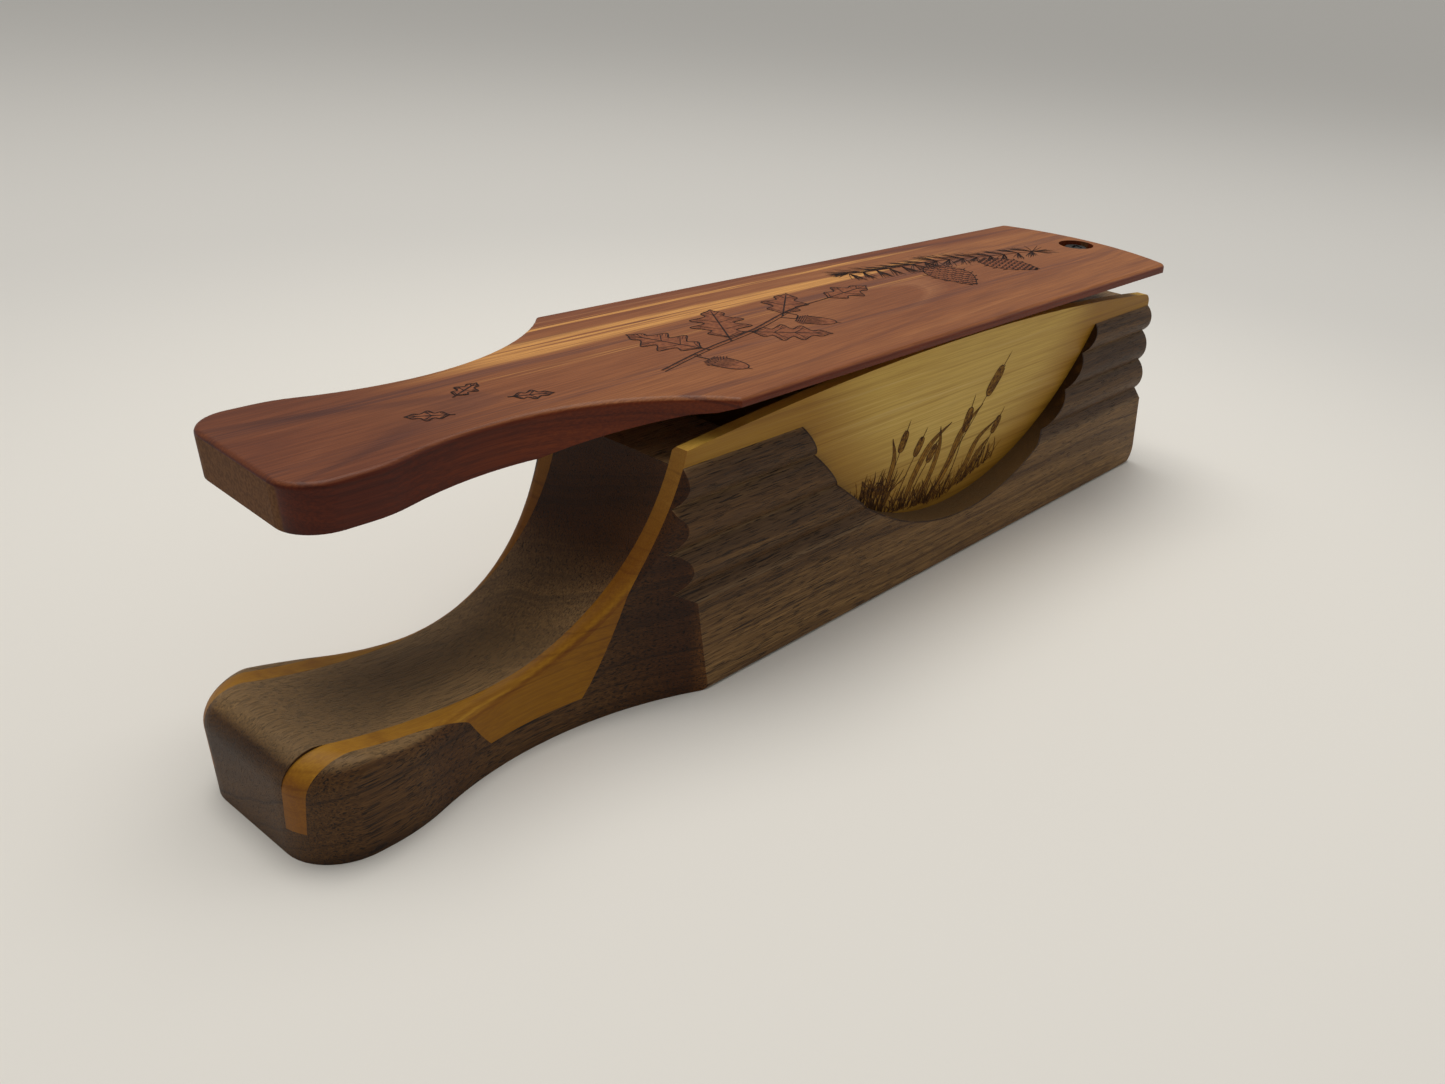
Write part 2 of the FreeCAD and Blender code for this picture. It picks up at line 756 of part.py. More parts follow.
# ---------------------------------------------------------------- check and write every piece
PIECES = {
    "base_board": base_board,
    "handle_core": handle_core,
    "far_block": far_block,
    "sound_board_left": sound_board_left,
    "sound_board_right": sound_board_right,
    "cheek_left": cheek_left,
    "cheek_right": cheek_right,
    "handle_cheek_left": handle_cheek_left,
    "handle_cheek_right": handle_cheek_right,
    "paddle": paddle,
    "pivot_screw": pivot_screw,
    "head_washer": head_washer,
    "pivot_spring": pivot_spring,
    "spring_washer": spring_washer,
}
for thing in doc.Objects:
    if "Invalid" in thing.State or "Error" in thing.State:
        raise RuntimeError("%s did not build" % thing.Name)
os.makedirs("parts", exist_ok=True)
for name, piece in PIECES.items():
    piece.Label = name
    shape = piece.Shape
    if shape.isNull() or not shape.isValid() or len(shape.Solids) != 1:
        raise RuntimeError("%s is not one sound solid" % name)
    shape.exportStep("parts/%s.step" % name)
    box = shape.BoundBox
    print("%-20s x %8.2f %8.2f  y %7.2f %7.2f  z %7.2f %7.2f  %9.1f mm3" % (
        name, box.XMin, box.XMax, box.YMin, box.YMax, box.ZMin, box.ZMax, shape.Volume))
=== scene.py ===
"""A wooden box call with a cedar paddle: its finishes, burnt decoration and a plain studio."""

import json
import math
import random

import bmesh
import bpy
from mathutils import Matrix, Vector
from mathutils.bvhtree import BVHTree


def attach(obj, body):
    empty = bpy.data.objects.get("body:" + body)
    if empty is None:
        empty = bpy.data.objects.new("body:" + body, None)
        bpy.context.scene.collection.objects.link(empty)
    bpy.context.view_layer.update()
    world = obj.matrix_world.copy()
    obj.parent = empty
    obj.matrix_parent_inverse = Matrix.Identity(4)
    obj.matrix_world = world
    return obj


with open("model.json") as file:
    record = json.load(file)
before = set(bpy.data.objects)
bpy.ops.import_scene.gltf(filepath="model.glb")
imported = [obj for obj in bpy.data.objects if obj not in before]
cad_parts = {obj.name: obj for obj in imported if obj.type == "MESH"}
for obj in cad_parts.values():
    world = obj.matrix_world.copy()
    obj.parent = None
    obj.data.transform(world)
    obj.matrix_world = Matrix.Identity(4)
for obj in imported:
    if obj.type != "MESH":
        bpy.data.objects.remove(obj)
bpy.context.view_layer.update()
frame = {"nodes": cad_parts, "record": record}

bl_info = {
    "name": "Box call studio",
    "version": (1, 0, 0),
    "blender": (4, 5, 0),
    "location": "View3D > Sidebar > Box Call",
    "description": "Finishes a wooden paddle box call and sets it in a plain studio",
    "category": "Object",
}

NODES = frame["nodes"]
MM = 0.001
SCOOP_X, SCOOP_Z, SCOOP_RADIUS = 0.043, 0.0875, 0.0745
HALF_WIDTH = 0.0252
PIVOT_X = 0.129
PADDLE_SWING = math.radians(-2.8)
PROBE_START = 0.1
WOOD_SHINE = 0.22


# ---------------------------------------------------------------- shader arithmetic
class Wire:
    """An output of a shader node that takes part in Python arithmetic."""

    def __init__(self, graph, socket):
        self.graph = graph
        self.socket = socket

    def math(self, operation, *others):
        return self.graph.node("ShaderNodeMath", {"operation": operation}, [self, *others])

    def __add__(self, other):
        return self.math("ADD", other)

    def __sub__(self, other):
        return self.math("SUBTRACT", other)

    def __mul__(self, other):
        return self.math("MULTIPLY", other)

    def __truediv__(self, other):
        return self.math("DIVIDE", other)

    def __pow__(self, other):
        return self.math("POWER", other)

    __radd__ = __add__
    __rmul__ = __mul__

    def __rsub__(self, other):
        return self.graph.node("ShaderNodeMath", {"operation": "SUBTRACT"}, [other, self])

    def __rtruediv__(self, other):
        return self.graph.node("ShaderNodeMath", {"operation": "DIVIDE"}, [other, self])

    def smooth(self, low, high):
        """0 below low, 1 above high, and a soft step between."""
        settings = {"interpolation_type": "SMOOTHSTEP"}
        inputs = {0: self, 1: low, 2: high, 3: 0.0, 4: 1.0}
        return self.graph.node("ShaderNodeMapRange", settings, inputs)


class Graph:
    """The node tree of one material with a Principled shader."""

    def __init__(self, name):
        self.material = bpy.data.materials.new(name)
        self.material.use_nodes = True
        self.tree = self.material.node_tree
        self.shader = self.tree.nodes["Principled BSDF"]
        place = self.tree.nodes.new("ShaderNodeTexCoord")
        self.x, self.y, self.z = self.parts(place.outputs["Object"])
        self.normal = self.parts(place.outputs["Normal"])

    def parts(self, socket):
        """The three components of a vector."""
        split = self.node("ShaderNodeSeparateXYZ", {}, [Wire(self, socket)], None)
        return [Wire(self, out) for out in split.outputs]

    def node(self, kind, settings=None, inputs=None, output=0):
        """Add a node; inputs is a list, or a dictionary by index or name. Returns an output, or the node."""
        made = self.tree.nodes.new(kind)
        for name, value in (settings or {}).items():
            setattr(made, name, value)
        pairs = inputs.items() if isinstance(inputs, dict) else enumerate(inputs or [])
        for key, value in pairs:
            if isinstance(value, Wire):
                self.tree.links.new(value.socket, made.inputs[key])
            else:
                made.inputs[key].default_value = value
        return made if output is None else Wire(self, made.outputs[output])

    def vector(self, x, y, z):
        return self.node("ShaderNodeCombineXYZ", {}, [x, y, z])

    def noise(self, vector, detail=3.0, rough=0.5):
        inputs = {"Vector": vector, "Scale": 1.0, "Detail": detail, "Roughness": rough}
        return self.node("ShaderNodeTexNoise", {"normalize": True}, inputs)

    def speckle(self, scale, detail=3.0):
        """Noise of the same scale in all directions."""
        return self.noise(self.vector(self.x * scale, self.y * scale, self.z * scale), detail)

    def grain(self, across, along, detail=3.0, rough=0.5):
        """Noise that is stretched along the board."""
        return self.noise(self.vector(self.x * along, self.y * across, self.z * across), detail, rough)

    def facing(self, axis):
        """1 where the surface faces along an axis of the object, either way, and 0 where it lies along it."""
        return self.normal[axis].math("ABSOLUTE")

    def mix(self, low, high, factor, blend="MIX"):
        """Blend of two colours."""
        settings = {"data_type": "RGBA", "blend_type": blend, "clamp_factor": True}
        return self.node("ShaderNodeMix", settings, {0: factor, 6: low, 7: high}, 2)

    def multiply(self, base, tint, factor):
        """Tint a colour by as much as the factor says."""
        return self.mix(base, tint, factor, "MULTIPLY")

    def set(self, name, value):
        if isinstance(value, Wire):
            self.tree.links.new(value.socket, self.shader.inputs[name])
        else:
            self.shader.inputs[name].default_value = value

    def bump(self, height, depth):
        """Raise the surface by up to the given depth in metres."""
        inputs = {"Height": height, "Distance": depth, "Strength": 1.0}
        self.set("Normal", self.node("ShaderNodeBump", {}, inputs))

    def finish(self, base, roughness, shine, height, depth):
        """Set the colour, roughness, shine and grain, and give the material."""
        self.set("Base Color", base)
        self.set("Roughness", roughness)
        self.set("Specular IOR Level", shine)
        self.bump(height, depth)
        return self.material


def colour(red, green, blue):
    """A display colour, 0 to 255, as linear light."""
    channels = [c / 255 for c in (red, green, blue)]
    linear = [c / 12.92 if c < 0.04045 else ((c + 0.055) / 1.055) ** 2.4 for c in channels]
    return (*linear, 1.0)


# ---------------------------------------------------------------- woods
def growth(graph, across, depth, sway):
    """Distance from the middle of the tree, which draws lines along a board and arcs across its end."""
    drift = graph.grain(25.0, 9.0, 2.0) - 0.5
    return (across * across + depth * depth) ** 0.5 + drift * sway


def rings(graph, distance, along, spacing, detail=3.0):
    """Bands that follow the growth rings and change slowly along the board."""
    return graph.noise(graph.vector(graph.x * along, distance / spacing, 0.0), detail, 0.55)


def fibres(graph, across, along):
    """Fine lines along the grain."""
    return graph.grain(across, along, 3.0, 0.6)


def pores(graph, across, along, amount):
    """Short dark dashes along the grain."""
    return graph.grain(across, along, 1.0, 0.3).smooth(amount, amount + 0.07)


def streak(graph, across, middle, half, sway, ragged):
    """A band along the board with a wandering, ragged edge."""
    wander = graph.noise(graph.vector(graph.x * 11.0, middle * 900.0, 0.0), 2.0) - 0.5
    offset = (across - middle + wander * sway) / half
    return (1.0 - offset * offset).smooth(0.0, 0.8) * ragged


def from_scoop(graph):
    """Distance from the axis of the round scoop in the cheeks."""
    along, up = graph.x - SCOOP_X, graph.z - SCOOP_Z
    return (along * along + up * up) ** 0.5


def make_cedar(finish):
    """Red cedar with a pale streak of sapwood, dark heart lines, painted shade on its side edges and brown end
    grain.
    """
    graph = Graph("cedar")
    slope, offset = 0.0489, 0.0063
    across = graph.y - offset + graph.x * slope
    distance = growth(graph, across + 0.004, graph.z + 0.02, 0.007)
    broad = rings(graph, distance, 2.4, 0.0065)
    narrow = rings(graph, distance, 4.5, 0.0013, 4.0)
    fine = fibres(graph, 2600.0, 30.0)
    wood = graph.mix(finish.cedar_dark, finish.cedar_light, broad.smooth(0.34, 0.66))
    wood = graph.mix(wood, colour(196, 138, 92), narrow.smooth(0.54, 0.78) * 0.6)
    wood = graph.mix(wood, colour(92, 50, 42), narrow.smooth(0.46, 0.26) * 0.6)
    # One broad streak of sapwood that widens towards the handle, with a thin one on each side.
    ragged = graph.noise(graph.vector(graph.x * 16.0, across * 1100.0, 0.0), 3.0)
    reach = graph.x.smooth(0.100, 0.045) * graph.x.smooth(-0.100, -0.060)
    half = 0.0052 - (graph.x + 0.04) * 0.030
    sap = streak(graph, across, 0.0165, half, 0.005, ragged.smooth(0.28, 0.52)) * reach
    sap = sap + streak(graph, across, 0.0262, 0.0012, 0.004, ragged.smooth(0.40, 0.55)) * reach
    sap = sap + streak(graph, across, 0.0045, 0.0013, 0.005, ragged.smooth(0.46, 0.60)) * reach * 0.5
    wood = graph.mix(wood, finish.cedar_sapwood, sap * 0.95)
    # Two dark lines of heartwood.
    heart = streak(graph, across, 0.0085, 0.0022, 0.006, ragged.smooth(0.36, 0.55))
    heart = heart + streak(graph, across, -0.0115, 0.0026, 0.006, ragged.smooth(0.42, 0.60)) * 0.8
    wood = graph.mix(wood, colour(92, 54, 50), heart * 0.55)
    # Fine fibres, a darker grip, painted shade on the side edges and the end grain.
    wood = graph.multiply(wood, colour(196, 180, 172), fine.smooth(0.62, 0.40) * 0.6)
    grip = graph.x.smooth(-0.070, -0.115)
    wood = graph.multiply(wood, colour(196, 172, 170), grip * 0.9)
    # Painted shade: the side edges of the paddle, which face away from the light, are darkened.
    edge = graph.facing(2).smooth(0.75, 0.35)
    wood = graph.multiply(wood, colour(186, 132, 92), edge)
    dots = graph.grain(1500.0, 400.0)
    end = graph.mix(colour(90, 55, 25), colour(112, 72, 38), dots.smooth(0.35, 0.65))
    end_face = graph.facing(0).smooth(0.955, 0.985)
    wood = graph.mix(wood, end, end_face)
    relief = (fine * 0.6 + narrow * 0.4) * (1.0 - end_face)
    return graph.finish(wood, fine * 0.16 + 0.36 + end_face * 0.3, WOOD_SHINE, relief, 0.04 * MM)


def make_walnut(finish):
    """Walnut with open pores; painted shade darkens the wall of the scoop, the grooves and, with the end
    grain, the waist and the throat; painted light brightens the beads and the top of the handle.
    """
    graph = Graph("walnut")
    distance = growth(graph, graph.y + 0.05 + graph.x * 0.06, graph.z + 0.12, 0.014)
    broad = rings(graph, distance, 4.0, 0.006)
    narrow = rings(graph, distance, 7.0, 0.0013, 4.0)
    fine = fibres(graph, 3200.0, 60.0)
    long_pores = pores(graph, 3300.0, 170.0, 0.62)
    short_pores = pores(graph, 4600.0, 260.0, 0.60)
    # The long pores are more open towards the handle.
    open_grain = graph.x.smooth(0.03, -0.03) * 0.7 + 0.3
    wood = graph.mix(finish.walnut_dark, finish.walnut_light, broad.smooth(0.30, 0.68))
    wood = graph.mix(wood, colour(70, 48, 32), narrow.smooth(0.50, 0.28) * 0.7)
    wood = graph.mix(wood, colour(156, 122, 84), narrow.smooth(0.60, 0.80) * 0.5)
    # Painted highlight on the rounds of the beads, and darker across the end grain up to the handle's nose,
    # which is partly painted shade on the waist and the throat.
    painted_bead_highlight = graph.facing(2).smooth(0.10, 0.55) * graph.x.smooth(-0.1, -0.05)
    wood = graph.mix(wood, colour(158, 132, 98), painted_bead_highlight * 0.5)
    wood = graph.multiply(wood, colour(190, 180, 172), fine.smooth(0.60, 0.42) * 0.7)
    wood = graph.mix(wood, colour(50, 35, 22), long_pores * open_grain * 0.85)
    wood = graph.mix(wood, colour(52, 36, 24), short_pores * 0.7)
    # Painted shade together with end grain: faces that turn along the box, such as the waist and the throat,
    # are darkened.
    end = graph.facing(0).smooth(0.12, 0.42) * graph.facing(2).smooth(0.85, 0.60)
    behind_nose = graph.x.smooth(-0.125, -0.11)
    wood = graph.multiply(wood, colour(200, 162, 104), end * behind_nose * 0.9)
    # Painted shade at the bottom of the grooves, and a painted sheen, lighter, on top of the handle.
    painted_groove_shade = graph.y.math("ABSOLUTE").smooth(HALF_WIDTH - 0.0002, HALF_WIDTH - 0.0021)
    wood = graph.multiply(wood, colour(150, 128, 100), painted_groove_shade * graph.facing(2).smooth(0.90, 0.60) * 0.85)
    # Painted sheen: the top of the handle is lightened where it faces up.
    worn = graph.facing(2).smooth(0.60, 0.95) * graph.x.smooth(-0.07, -0.10)
    wood = graph.mix(wood, colour(140, 114, 78), worn * 0.45)
    # The wall of the scoop is painted dark as shade, with lighter speckles; where it faces up, at its foot, it
    # is painted lighter as lit, so the steep part stays darkest.
    wall = from_scoop(graph).smooth(SCOOP_RADIUS + 0.0006, SCOOP_RADIUS + 0.0003)
    spots = graph.speckle(260.0)
    painted_wall_shade = graph.mix(colour(74, 51, 27), colour(108, 80, 46), spots.smooth(0.52, 0.74))
    painted_wall_shade = graph.multiply(painted_wall_shade, colour(196, 180, 150), 1.0)
    painted_lit_foot = graph.facing(2).smooth(0.72, 0.98)
    painted_wall_shade = graph.mix(painted_wall_shade, colour(122, 96, 62), painted_lit_foot * 0.8)
    wood = graph.mix(wood, painted_wall_shade, wall)
    relief = fine * 0.5 - long_pores * open_grain - short_pores * 0.5
    return graph.finish(wood, fine * 0.2 + 0.44, WOOD_SHINE, relief, 0.12 * MM)


def make_poplar(finish):
    """Yellow poplar, painted darker as shade along the handle and towards the scoop's rim."""
    graph = Graph("poplar")
    distance = growth(graph, graph.y + 0.30 + graph.x * 0.03, graph.z - 0.05, 0.004)
    broad = rings(graph, distance, 3.0, 0.007)
    lines = graph.noise(graph.vector(graph.x * 5.0, graph.y * 60.0, graph.z * 780.0), 3.0, 0.6)
    fine = fibres(graph, 3000.0, 45.0)
    wood = graph.mix(finish.poplar_dark, finish.poplar_light, broad.smooth(0.32, 0.66))
    wood = graph.mix(wood, colour(168, 130, 56), lines.smooth(0.50, 0.30) * 0.6)
    wood = graph.mix(wood, colour(222, 194, 128), lines.smooth(0.56, 0.74) * 0.5)
    wood = graph.multiply(wood, colour(222, 210, 190), fine.smooth(0.60, 0.42) * 0.5)
    # The strips in the handle are painted darker than the boards as shade, lighter again at the nose and
    # yellower at the sides.
    handle_shade_tint = graph.mix(colour(190, 156, 62), colour(218, 192, 118), graph.x.smooth(-0.080, -0.118))
    handle_shade_tint = graph.mix(handle_shade_tint, colour(226, 204, 40), graph.facing(1).smooth(0.95, 0.995))
    wood = graph.multiply(wood, handle_shade_tint, graph.x.smooth(-0.050, -0.072))
    # Painted shade together with end grain: darker where the wood faces along the box, and darker on the edges
    # of the boards and strips.
    wood = graph.multiply(wood, colour(200, 170, 110), graph.facing(0).smooth(0.5, 0.9) * 0.8)
    wood = graph.multiply(wood, colour(226, 212, 170), graph.facing(1).smooth(0.9, 0.6) * 0.8)
    # Painted shade on the board, darkest next to the wall of the scoop.
    rim_shade_width = 0.026
    rim = from_scoop(graph).smooth(SCOOP_RADIUS - rim_shade_width, SCOOP_RADIUS)
    wood = graph.multiply(wood, colour(192, 164, 90), rim * graph.facing(1).smooth(0.8, 0.95) * 0.9)
    return graph.finish(wood, fine * 0.2 + 0.42, WOOD_SHINE, fine * 0.6 + lines * 0.3, 0.04 * MM)


def make_burnt(name, dark, light):
    """Wood that a hot point has marked."""
    graph = Graph(name)
    soot = graph.speckle(900.0, 4.0)
    base = graph.mix(dark, light, soot.smooth(0.38, 0.66))
    return graph.finish(base, soot * 0.2 + 0.6, 0.2, soot, 0.04 * MM)


def make_metal(name, dark, light, rough, metallic):
    """Metal with faint wear."""
    graph = Graph(name)
    wear = graph.speckle(900.0)
    graph.set("Metallic", metallic)
    base = graph.mix(dark, light, wear.smooth(0.35, 0.7))
    return graph.finish(base, wear * 0.2 + rough, 0.5, wear, 0.02 * MM)


def put(name, data):
    """A new object of the scene."""
    thing = bpy.data.objects.new(name, data)
    bpy.context.scene.collection.objects.link(thing)
    return thing


def dress(slot, material):
    """Give a finish to every CAD node of the named slot."""
    for entry in frame["record"]["subparts"]:
        if entry["material_slot"] == slot:
            mesh = NODES[entry["node"]].data
            mesh.materials.clear()
            mesh.materials.append(material)


# ---------------------------------------------------------------- burnt decoration
def curve(points, count):
    """Evenly parted points of a smooth line through the given ones."""
    points = [Vector(p) for p in points]
    if len(points) == 2:
        return [points[0].lerp(points[1], i / (count - 1)) for i in range(count)]
    # A Catmull-Rom line, carried on straight past both ends.
    ends = [2 * points[0] - points[1], *points, 2 * points[-1] - points[-2]]
    result = []
    for i in range(count):
        whole = min(int(i / (count - 1) * (len(points) - 1)), len(points) - 2)
        t = i / (count - 1) * (len(points) - 1) - whole
        p0, p1, p2, p3 = ends[whole:whole + 4]
        spread = 2 * p0 - 5 * p1 + 4 * p2 - p3
        result.append((2 * p1 + (p2 - p0) * t + spread * t * t + (3 * p1 - p0 - 3 * p2 + p3) * t ** 3) / 2)
    return result


def turned(length, angle):
    """A step of some length in a direction of the sheet."""
    return Vector((length * math.cos(angle), length * math.sin(angle)))


class Drawing:
    """Strokes of a burnt drawing, in millimetres on a flat sheet.

    Each stroke is a centre line, its widths and its tone, where 0 is burnt dark and 1 is toned.
    """

    def __init__(self, seed):
        self.chance = random.Random(seed)
        self.strokes = []

    def line(self, points, width=0.35, tone=0, taper=(0.3, 0.3), count=12):
        """A stroke that thins towards both ends to the shares of its width that taper gives."""
        path = curve(points, count)
        widths = []
        for i in range(count):
            t = i / (count - 1)
            body = min(1.0, t * 5, (1 - t) * 5)
            left = taper[0] if t < 0.5 else taper[1]
            widths.append(width * (left + (1 - left) * body))
        self.strokes.append((path, widths, tone))

    def shape(self, path, widths, tone=1):
        """A stroke with its own width at each point."""
        self.strokes.append(([Vector(p) for p in path], widths, tone))

    def outline(self, path, width):
        """A dark line of one width."""
        self.shape(path, [width] * len(path), 0)

    def leaf(self, base, angle, length, breadth, lobes):
        """An oak leaf: a lobed outline, a midrib and a vein to each lobe."""
        along, aside = turned(1.0, angle), turned(1.0, angle + math.pi / 2)
        base = Vector(base)
        count = 14 * lobes

        def half(t):
            wave = 0.74 + 0.26 * math.cos(2 * math.pi * lobes * t + math.pi)
            return breadth * math.sin(math.pi * t ** 0.85) * wave

        steps = [i / count for i in range(count + 1)]
        self.shape([base + along * length * t for t in steps], [1.9 * half(t) + 0.05 for t in steps])
        for side in (-1, 1):
            self.outline([base + along * length * t + aside * side * half(t) for t in steps], 0.34)
            for k in range(lobes):
                t = (k + 0.5) / lobes
                tip = base + along * length * min(t + 0.05, 1) + aside * side * half(t) * 0.8
                self.line([base + along * length * max(t - 0.10, 0), tip], 0.24, 0, (1, 0.3), 4)
                for shade in range(5):
                    at = t - 0.08 + shade * 0.035
                    root = base + along * length * at + aside * side * half(at) * 0.95
                    back = base + along * length * (at - 0.05) + aside * side * half(at) * 0.55
                    self.line([root, back], 0.16, 0, (1, 0.2), 3)
        self.line([base - along * length * 0.12, base + along * length * 0.96], 0.40, 0, (1.3, 0.3), 8)

    def acorn(self, base, angle, size):
        """A nut with hatched shading under a cap of small scales."""
        along, aside = turned(1.0, angle), turned(1.0, angle + math.pi / 2)
        base = Vector(base)
        steps = [i / 12 for i in range(13)]
        nut = [size * 0.46 * math.sqrt(1 - t ** 2.4) for t in steps]
        self.shape([base + along * size * 1.15 * t for t in steps], [2 * w for w in nut])
        for side in (-1, 1):
            edge = [base + along * size * 1.15 * t + aside * side * w for t, w in zip(steps, nut)]
            self.outline(edge, 0.34)
        for k in range(9):
            off = (k / 8 - 0.5) * size * 0.8
            reach = size * (0.95 - abs(off) / size * 0.9) * self.chance.uniform(0.6, 1.0)
            self.line([base + aside * off, base + aside * off * 0.9 + along * reach], 0.20, 0, (1, 0.2), 4)
        cap = [base - along * size * 0.40 * t for t in steps]
        self.shape(cap, [1.12 * size * math.sqrt(1 - t ** 2.2) + 0.05 for t in steps])
        for row in range(5):
            for k in range(7):
                off = k / 6 - 0.5
                middle = base + aside * off * size * (1.05 - row * 0.13)
                middle -= along * size * (0.03 + row * 0.08)
                reach = turned(size * 0.07, angle + math.pi / 2 + off * 0.8)
                self.line([middle - reach, middle + reach], 0.36, 0, (0.5, 0.5), 3)
        self.line([base - along * size * 0.36, base - along * size * 0.95], 0.45, 0, (1, 1), 5)
        self.line([base + along * size * 1.12, base + along * size * 1.34], 0.28, 0, (1, 0.2), 3)

    def cone(self, base, angle, length, breadth):
        """A pine cone: rows of dark, overlapping scales."""
        along, aside = turned(1.0, angle), turned(1.0, angle + math.pi / 2)
        base = Vector(base)
        steps = [i / 16 for i in range(17)]

        def bulge(t):
            return breadth * math.sin(math.pi * (0.06 + 0.90 * t) ** 0.8)

        half = [bulge(t) for t in steps]
        self.shape([base + along * length * t for t in steps], [2 * w for w in half])
        rows = 12
        for row in range(rows):
            t = (row + 0.5) / rows
            wide = bulge(t)
            for k in range(5):
                off = ((k + (row % 2) * 0.5) / 4.5 - 0.5) * 2 * wide
                middle = base + along * length * t + aside * off
                rim = [middle - aside * wide * 0.24 - along * 0.5, middle + along * 0.35,
                       middle + aside * wide * 0.24 - along * 0.5]
                self.line(rim, 0.42, 0, (0.5, 0.5), 6)
                self.line([middle + along * 0.3, middle - along * 0.7], 0.34, 0, (1, 0.2), 3)
        for side in (-1, 1):
            self.outline([base + along * length * t + aside * side * w for t, w in zip(steps, half)], 0.30)

    def needles(self, base, angle, reach, count, spread):
        """A tuft of pine needles."""
        for _ in range(count):
            turn = angle + self.chance.gauss(0, spread)
            far = reach * self.chance.uniform(0.6, 1.0)
            bend = self.chance.uniform(-0.12, 0.12)
            root = Vector(base)
            points = [root, root + turned(far * 0.5, turn + bend), root + turned(far, turn)]
            self.line(points, 0.22, 0, (1, 0.2), 5)

    def grass(self, left, right, height, count, lean):
        """Blades that rise from a base line."""
        left, right = Vector(left), Vector(right)
        for _ in range(count):
            root = left.lerp(right, self.chance.random())
            root += turned(self.chance.uniform(0, 0.8), self.chance.uniform(0, 6))
            turn = math.pi / 2 - lean + self.chance.gauss(0, 0.45)
            far = height * self.chance.uniform(0.25, 1.0)
            bend = self.chance.uniform(-0.5, 0.5)
            elbow = root + turned(far * 0.55, turn)
            points = [root, elbow, elbow + turned(far * 0.45, turn + bend)]
            self.line(points, self.chance.uniform(0.22, 0.42), self.chance.choice((0, 0, 1)), (1, 0.15), 7)

    def blade(self, points, width):
        """A broad reed leaf: a pale fill inside a dark outline, with a fold along it."""
        last = 21
        path = curve(points, last + 1)
        widths = [width * min(1.0, 0.35 + i / 8, (last - i) / 9 + 0.02) for i in range(last + 1)]
        self.shape(path, widths)
        for side in (-1, 1):
            edge = []
            for i, point in enumerate(path):
                ahead = (path[min(i + 1, last)] - path[max(i - 1, 0)]).normalized()
                edge.append(point + Vector((-ahead.y, ahead.x)) * side * widths[i] / 2)
            self.outline(edge, 0.26)
        self.line(points, 0.18, 0, (1, 0.2), 14)

    def cattail(self, points, head, breadth):
        """A reed mace: a thin stem, a thick dark head and a spike."""
        last = 29
        path = curve(points, last + 1)
        self.shape(path, [0.55 - 0.3 * i / last for i in range(last + 1)], 0)
        steps = [i / 15 for i in range(16)]
        low, high = path[-1], path[-1] + (path[-1] - path[-4]).normalized() * head

        def bulge(t):
            return breadth * (1 - abs(2 * t - 1) ** 3.5) ** 0.5

        round_ends = [bulge(t) + 0.1 for t in steps]
        self.shape([low.lerp(high, t) for t in steps], round_ends)
        ahead = (high - low).normalized()
        aside = Vector((-ahead.y, ahead.x))
        for _ in range(int(head * 6)):
            t = self.chance.uniform(0.04, 0.96)
            middle = low.lerp(high, t) + aside * self.chance.uniform(-0.46, 0.46) * bulge(t)
            self.line([middle, middle + ahead * self.chance.uniform(0.5, 1.2)], 0.30, 0, (0.6, 0.4), 3)
        for side in (-1, 1):
            self.outline([low.lerp(high, t) + aside * side * w / 2 for t, w in zip(steps, round_ends)], 0.30)
        self.line([high, high + ahead * head * 0.5], 0.34, 0, (1, 0.2), 4)

    def lay(self, name, node, place, slot, body, finishes):
        """Lay the strokes on a wooden node.

        place turns a point of the sheet into a start off the wood and a direction towards it.
        """
        marks = bpy.context.scene.boxcall_marks
        wood = NODES[node]
        points = [wood.matrix_world @ vertex.co for vertex in wood.data.vertices]
        tree = BVHTree.FromPolygons(points, [tuple(face.vertices) for face in wood.data.polygons])
        work = bmesh.new()
        for path, widths, tone in self.strokes:
            rails = []
            for i, point in enumerate(path):
                ahead = path[min(i + 1, len(path) - 1)] - path[max(i - 1, 0)]
                aside = Vector((-ahead.y, ahead.x)).normalized() if ahead.length > 1e-9 else Vector((0, 1))
                hits = [tree.ray_cast(*place(point + aside * side * widths[i] / 2)) for side in (-1, 1)]
                # The stroke has a gap where it leaves the wood.
                if any(hit[0] is None for hit in hits):
                    rails = []
                    continue
                off = place(point)[1] * (marks.burnt_lift if tone == 0 else marks.toned_lift)
                pair = [work.verts.new(hit[0] - off) for hit in hits]
                if rails:
                    face = work.faces.new((rails[0], rails[1], pair[1], pair[0]))
                    face.material_index = tone
                    face.smooth = True
                rails = pair
        mesh = bpy.data.meshes.new(name)
        work.to_mesh(mesh)
        work.free()
        for finish in finishes:
            mesh.materials.append(finish)
        piece = put(name, mesh)
        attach(piece, body)


def paddle_place(point):
    """A point of the paddle's own sheet, measured from its pivot: a start above the wood and a way down."""
    cosine, sine = math.cos(PADDLE_SWING), math.sin(PADDLE_SWING)
    along, across = point.x * cosine - point.y * sine, point.x * sine + point.y * cosine
    return Vector((PIVOT_X + along * MM, across * MM, PROBE_START)), Vector((0.0, 0.0, -1.0))


def right_board_place(point):
    """The same for the right sound board, from outside the box."""
    return Vector((point.x * MM, -PROBE_START, point.y * MM)), Vector((0.0, 1.0, 0.0))


def left_board_place(point):
    """The same for the left sound board, from outside the box."""
    return Vector((point.x * MM, PROBE_START, point.y * MM)), Vector((0.0, -1.0, 0.0))


